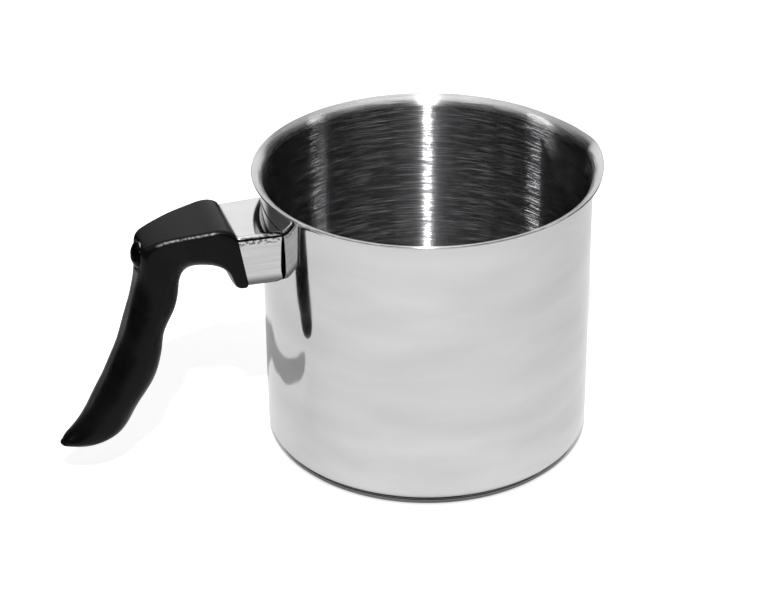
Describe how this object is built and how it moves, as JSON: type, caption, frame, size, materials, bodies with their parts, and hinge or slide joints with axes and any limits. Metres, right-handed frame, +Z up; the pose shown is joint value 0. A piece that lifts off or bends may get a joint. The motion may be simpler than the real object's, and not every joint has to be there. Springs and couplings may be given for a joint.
{
  "type": "milk pan",
  "caption": "Small deep stainless steel milk pan with a pressed pouring spout, a rolled-out rim, a sandwich base and a drop-shaped phenolic handle with finger waves.",
  "frame": {"origin": "centre of the flat face that the pan rests on, on the pan's axis", "axes": "+Z up along the pan's axis, +X towards the spout, the handle along -X, the XZ plane halves the pan"},
  "size_m": [0.2394, 0.1472, 0.1258],
  "materials": {
    "pan_steel": "mirror polished outside, brushed round inside",
    "base_steel": "polished",
    "ferrule_steel": "polished",
    "core_aluminium": "rolled",
    "plain_steel": "plain",
    "phenolic": "moulded satin gloss",
    "black_screw": "blackened gloss"
  },
  "bodies": {
    "root": {"pan_body": "pan_steel", "base_core": "core_aluminium", "base_cap": "base_steel", "ferrule": "ferrule_steel", "handle_bracket": "plain_steel", "bracket_nut": "plain_steel", "handle": "phenolic", "screw_washer": "plain_steel", "handle_screw": "black_screw"}
  },
  "joints": []
}
